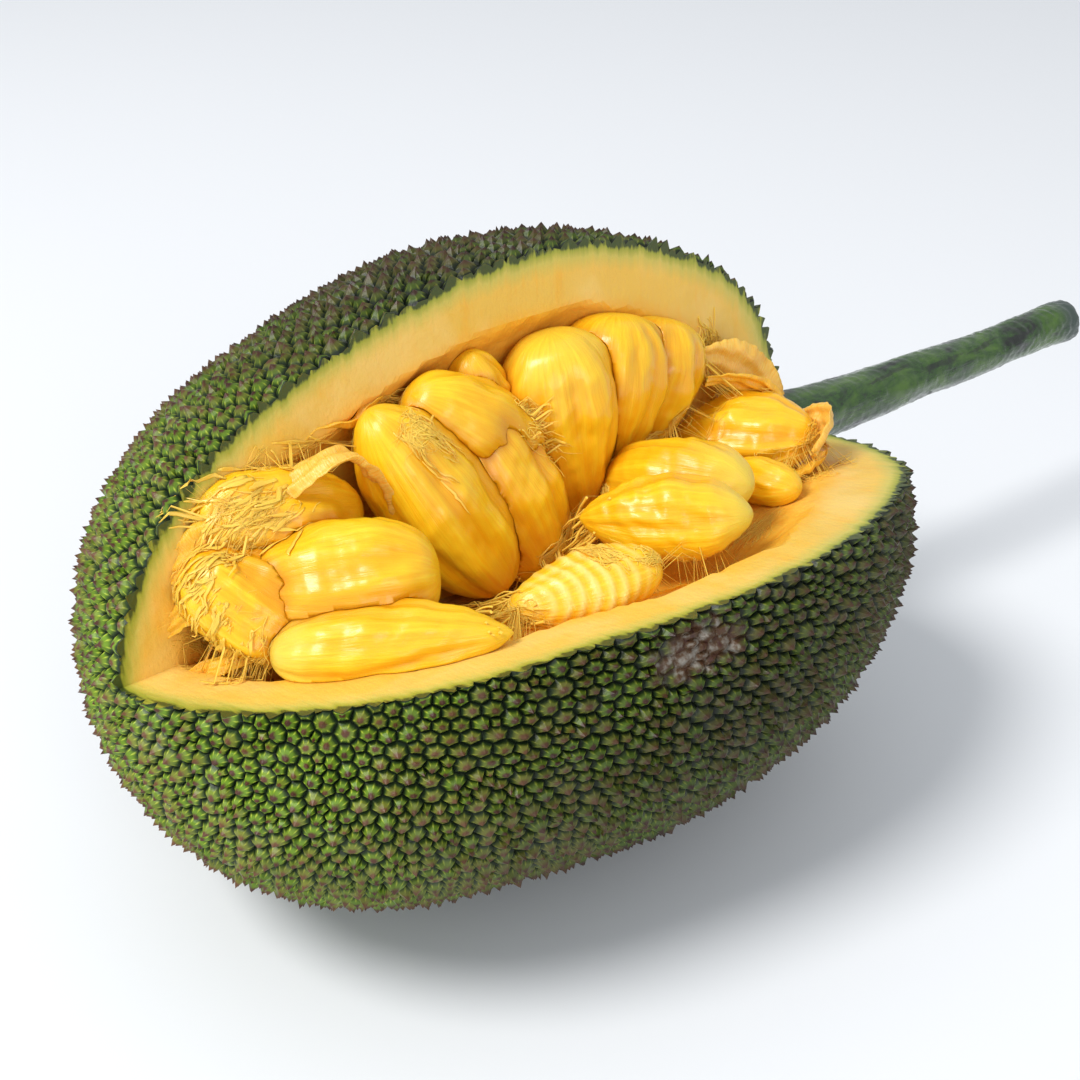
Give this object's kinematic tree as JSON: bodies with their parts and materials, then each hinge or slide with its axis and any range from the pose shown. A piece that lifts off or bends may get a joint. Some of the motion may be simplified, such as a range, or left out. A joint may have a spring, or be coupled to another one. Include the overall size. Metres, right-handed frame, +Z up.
{
  "type": "jackfruit",
  "caption": "Ripe jackfruit on its side with its stalk, cut open by a long wedge that shows pale rind, a stringy core and golden bulbs.",
  "frame": {"origin": "on the flat spot that the fruit rests on, under the middle of its length", "axes": "+X along the fruit towards the cut end of the stalk, -Y and +Z towards the open wedge, +Z up"},
  "size_m": [0.509, 0.2608, 0.2187],
  "materials": {
    "skin": "bumpy green skin with brown tips, pale flesh where cut",
    "stalk": "waxy dark green bark with black patches",
    "core": "moist brown fibre",
    "bulb": "moist golden flesh",
    "rag": "moist pale golden fibre"
  },
  "bodies": {
    "root": {"husk": "skin", "stalk": "stalk", "core": "core", "bulb_front_lower": "bulb", "bulb_front_upper": "bulb", "bulb_by_the_stalk": "bulb", "bulb_front_long": "bulb", "bulb_left_big": "bulb", "bulb_middle_left": "bulb", "bulb_middle_right": "bulb", "bulb_back_left": "bulb", "bulb_back_middle": "bulb", "bulb_back_right": "bulb", "bulb_middle_top": "bulb", "bulb_small_top": "bulb", "bulb_left_back": "bulb", "bulb_left_end": "bulb", "bulb_striped": "bulb", "bulb_small_front": "bulb", "rag_strap": "rag", "rag_curtain": "rag", "rag_collar": "rag"}
  },
  "joints": []
}
